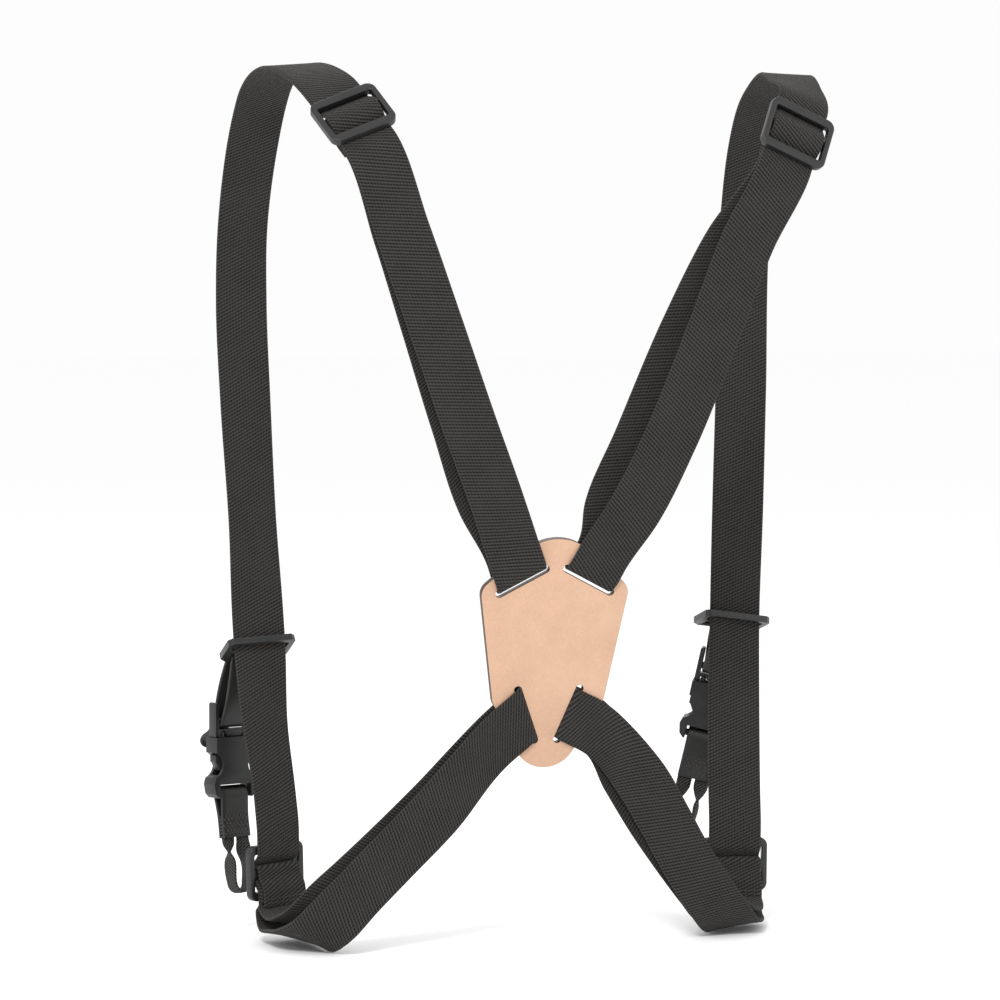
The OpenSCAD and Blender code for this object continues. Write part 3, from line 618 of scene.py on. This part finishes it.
# ---------------------------------------------------------------- back patch
PATCH_BEVEL, FACE_COSINE = 0.55, 0.75
patch = soften("back_patch", PATCH_BEVEL, 3, 40)
dress(patch, TAN, BURNISHED)
normal = Vector(PATCH[3])
for poly in patch.data.polygons:
    poly.material_index = 0 if abs(poly.normal.dot(normal)) > FACE_COSINE else 1
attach(patch, "harness")

# ---------------------------------------------------------------- moulded hardware
for side, s in enumerate(SIDES):
    for node, width, body, mat in (
            ("upper_adjuster", 1.1, "upper_adjuster", PLASTIC),
            ("lower_adjuster", 1.1, "lower_adjuster", PLASTIC),
            ("slider_plate", 0.7, "plate", PLASTIC),
            ("buckle_plug", 0.7, "plug", PLASTIC),
            ("outer_prong", 0.4, "outer_prong", PLASTIC),
            ("inner_prong", 0.4, "inner_prong", PLASTIC),
            ("buckle_socket", 0.9, "socket", SOCKET)):
        obj = soften(s + "_" + node, width, 3 if width > 0.5 else 2)
        dress(obj, mat)
        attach(obj, s + "_" + body + "_body")

# ---------------------------------------------------------------- leather tabs and webbing
TAB_PROFILE = flat_profile(TAB_W, TAB_T, 6)
WEB_PROFILE = flat_profile(WEB_W, WEB_T, 4, crown=0.12)
LEATHER = (BLACK, BLACK, CUT)
BULGE = 1.6
TONGUE_ASIDE, TONGUE_W = 2.5, TAB_W * 0.68
STITCH_R, SEAM_R = 0.26, 0.2
STITCH_ROWS, STITCH_COLS, STITCH_SPAN = 6, 7, 12.4
SEAM_ROWS, SEAM_STITCHES, SEAM_SPAN = (11.4, 13.2), 11, 21.6
LOOP_SPREAD = 4.2


def strip_piece(name, path, profile, node, body, mats,
                closed=False, ruled=False, narrow=None):
    obj = sweep(name, rings_of(path, closed, ruled), profile, closed, narrow)
    dress(obj, *mats)
    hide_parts(node)
    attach(obj, body)


def stitch_row(name, points, outs, body, radius):
    """Thread stitches: short sunk capsules laid from point to point."""
    bm = bmesh.new()
    uv = bm.loops.layers.uv.new("UVMap")
    for (a, b), out in zip(points, outs):
        d = unit(b - a)
        q = unit(np.cross(d, out))
        rings = []
        for k in range(6):
            t = k / 5
            c = a + (b - a) * t + out * (radius * 0.9 * math.sin(math.pi * t) - radius * 0.35)
            r = radius * (0.45 + 0.55 * math.sin(math.pi * (0.12 + 0.76 * t)))
            rings.append([bm.verts.new((c + r * (math.cos(w) * q + math.sin(w) * out)) * MM)
                          for w in (math.tau * j / 8 for j in range(8))])
        for k in range(5):
            for j in range(8):
                e = (j + 1) % 8
                f = bm.faces.new((rings[k][j], rings[k][e], rings[k + 1][e], rings[k + 1][j]))
                f.smooth = True
                corners = ((k, j), (k, j + 1), (k + 1, j + 1), (k + 1, j))
                for loop, (kk, jj) in zip(f.loops, corners):
                    loop[uv].uv = (kk * 0.0003, jj * 0.0002)
        bm.faces.new(rings[0][::-1])
        bm.faces.new(rings[-1])
    bmesh.ops.recalc_face_normals(bm, faces=bm.faces)
    mesh = bpy.data.meshes.new(name)
    bm.to_mesh(mesh)
    bm.free()
    obj = link(name, mesh)
    dress(obj, THREAD)
    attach(obj, body)


def ply(top, low, top_out, low_out, t, sign):
    r = (1 - t) * R_TOP + t * R_LOW + BULGE * math.sin(math.pi * t)
    return ((1 - t) * top[0] + t * low[0] + sign * r * unit((1 - t) * top_out + t * low_out),
            unit((1 - t) * top[1] + t * low[1]))


def turned_width(f, degrees, sign):
    """Width direction of the webbing after it has turned by so many degrees."""
    a = math.radians(degrees)
    return math.cos(a) * f[1] * sign + math.sin(a) * f[2]


def bar_arc(origin, radius, angle, base, sign, width):
    """A point of the band where it goes round a bar."""
    a = math.radians(angle)
    return origin + radius * (math.sin(a) * base[0] + sign * math.cos(a) * base[1]), width


for side, s in enumerate(SIDES):
    top, low = tab_bar_frame(side), buckle_frame(side)
    drop = unit(low[0] - top[0])
    top_out, low_out = unit(np.cross(drop, top[1])), unit(np.cross(drop, low[1]))
    top_down, low_down = np.cross(top[1], top_out), np.cross(low[1], low_out)
    path = [bar_arc(top[0], R_TOP, a, (top_out, top_down), -1, top[1])
            for a in range(-90, 91, 10)]
    path += [ply(top, low, top_out, low_out, t, 1) for t in np.linspace(0.1, 0.9, 9)]
    path += [bar_arc(low[0], R_LOW, a, (low_out, low_down), 1, low[1])
             for a in range(90, -91, -10)]
    path += [ply(top, low, top_out, low_out, t, -1) for t in np.linspace(0.9, 0.1, 9)]
    strip_piece(s + "_tab_band", path, TAB_PROFILE, s + "_upper_tab", s + "_tab_body",
                LEATHER, closed=True, ruled=True)

    f = low
    root = R_LOW + TAB_T + 0.05
    aside = -TONGUE_ASIDE if side == LEFT else TONGUE_ASIDE
    pts = [(root, 1.2), (root + 0.1, -1.5), (root + 1.8, -4.3), (root + 4.5, -6.3),
           (root + 7.3, -7.8), (root + 9.2, -10), (root + 10, -12.4), (root + 10.2, -13.8)]
    st = [(f[0] + a * f[2] + b * f[3] + aside * f[1], f[1]) for a, b in pts]
    path = run(st, 0.8)
    # the end is rounded: its half width follows a circle over the last stretch
    walk = [0.0]
    for i in range(1, len(path)):
        walk.append(walk[-1] + np.linalg.norm(path[i][0] - path[i - 1][0]))
    half = TONGUE_W / 2
    narrow = []
    for w in walk:
        left = walk[-1] - w
        inside = max(0.02, 1 - ((half - left) / half) ** 2)
        narrow.append(1.0 if left > half else math.sqrt(inside))
    strip_piece(s + "_tongue", path, flat_profile(TONGUE_W, TAB_T, 6), s + "_pull_tongue",
                s + "_tab_body", LEATHER, narrow=narrow)

    f = low_tab_frame(side)
    gap = WEB_T / 2 + TAB_T / 2 + 0.15
    pts = [(-LOW_TAB_L, -gap), (-10, -gap), (-6, -gap - 0.5)]
    pts += [(R_LOW * math.cos(math.radians(a)), R_LOW * math.sin(math.radians(a)))
            for a in range(-90, 91, 30)]
    pts += [(-6, gap + 0.5), (-10, gap), (-LOW_TAB_L, gap)]
    path = run([(f[0] + a * f[3] + b * f[2], f[1]) for a, b in pts], 0.9)
    strip_piece(s + "_low_tab", path, TAB_PROFILE, s + "_lower_tab", s + "_loop_body",
                LEATHER, ruled=True)
    # dense rows of stitches hold the webbing ends in the lower half of the tab
    pairs, outs = [], []
    for face in (-1, 1):
        out = face * f[2]
        for row in range(STITCH_ROWS):
            for col in range(STITCH_COLS):
                u = STITCH_SPAN * (col / (STITCH_COLS - 1) - 0.5) + (0.5 if row % 2 else -0.5)
                z = -LOW_TAB_L + 1.6 + 1.65 * row
                c = f[0] + u * f[1] + z * f[3] + out * (gap + TAB_T / 2)
                tilt = unit(f[1] * (0.8 if row % 2 else -0.8) + f[3])
                pairs.append((c - tilt * 0.7, c + tilt * 0.7))
                outs.append(out)
    stitch_row(s + "_low_tab_stitches", pairs, outs, s + "_loop_body", STITCH_R)

    bottom = -LOW_TAB_L - LOOP_L + LOOP_SPREAD + WEB_T / 2
    leg = [(-11, 0), (-LOW_TAB_L, 0), (-LOW_TAB_L - 3, 8), (-LOW_TAB_L - 7, 55),
           (-LOW_TAB_L - 10, 90)]
    st = [(f[0] + z * f[3] - LOOP_SPREAD * f[1], turned_width(f, p, 1)) for z, p in leg]
    st += [(f[0] + (bottom - LOOP_SPREAD * math.sin(a)) * f[3]
            - LOOP_SPREAD * math.cos(a) * f[1], f[2])
           for a in (math.pi * k / 8 for k in range(9))]
    st += [(f[0] + z * f[3] + LOOP_SPREAD * f[1], turned_width(f, p, -1)) for z, p in leg[::-1]]
    strip_piece(s + "_web", run(st, 1.0), WEB_PROFILE, s + "_webbing_loop", s + "_loop_body",
                (WEBBING, WEBBING, WEBBING))

    # seam across the sewn tail behind each adjuster
    for end, adj in ((0, "_upper"), (1, "_lower")):
        g = ADJUSTERS[side][end]
        n = TAIL_OFF * (-STRAP_T - 2 * GAP) - STRAP_T / 2
        pairs, outs = [], []
        for row in SEAM_ROWS:
            for k in range(SEAM_STITCHES):
                y = SEAM_SPAN * (k / (SEAM_STITCHES - 1) - 0.5)
                c = at(g, row, y, n)
                pairs.append((c - g[2] * 0.75, c + g[2] * 0.75))
                outs.append(-g[3])
        stitch_row(s + adj + "_seam", pairs, outs, s + adj + "_adjuster_body", SEAM_R)

# ---------------------------------------------------------------- floor and light
FLOOR_Z, FLOOR_CORNERS = -0.0005, ((-6, -4), (6, -4), (6, 9), (-6, 9))
floor = bpy.data.meshes.new("floor")
floor.from_pydata([(x, y, FLOOR_Z) for x, y in FLOOR_CORNERS], [], [(0, 1, 2, 3)])
ground = link("floor", floor)
mat, nodes, links, bsdf = material("floor")
bsdf.inputs["Base Color"].default_value = (0.99, 0.99, 0.99, 1)
bsdf.inputs["Roughness"].default_value = 0.9
bsdf.inputs["Specular IOR Level"].default_value = 0.0
floor.materials.append(mat)

LIT_SPOT = (0, 0, 0.2)


def area(name, loc, size, power):
    light = bpy.data.lights.new(name, "AREA")
    light.shape = "DISK"
    light.size, light.energy = size, power
    obj = bpy.data.objects.new(name, light)
    bpy.context.collection.objects.link(obj)
    obj.location = loc
    obj.rotation_euler = (Vector(LIT_SPOT) - Vector(loc)).to_track_quat("-Z", "Y").to_euler()


area("key", (-0.9, -1.6, 1.5), 0.5, 26)
area("fill", (1.5, -1.1, 0.8), 1.2, 3)
area("rim", (0.2, 1.4, 1.4), 1.0, 6)
bpy.context.scene.view_settings.view_transform = "Standard"
world = bpy.data.worlds.new("studio")
world.use_nodes = True
world.node_tree.nodes["Background"].inputs[0].default_value = (1, 1, 1, 1)
world.node_tree.nodes["Background"].inputs[1].default_value = 0.98
bpy.context.scene.world = world
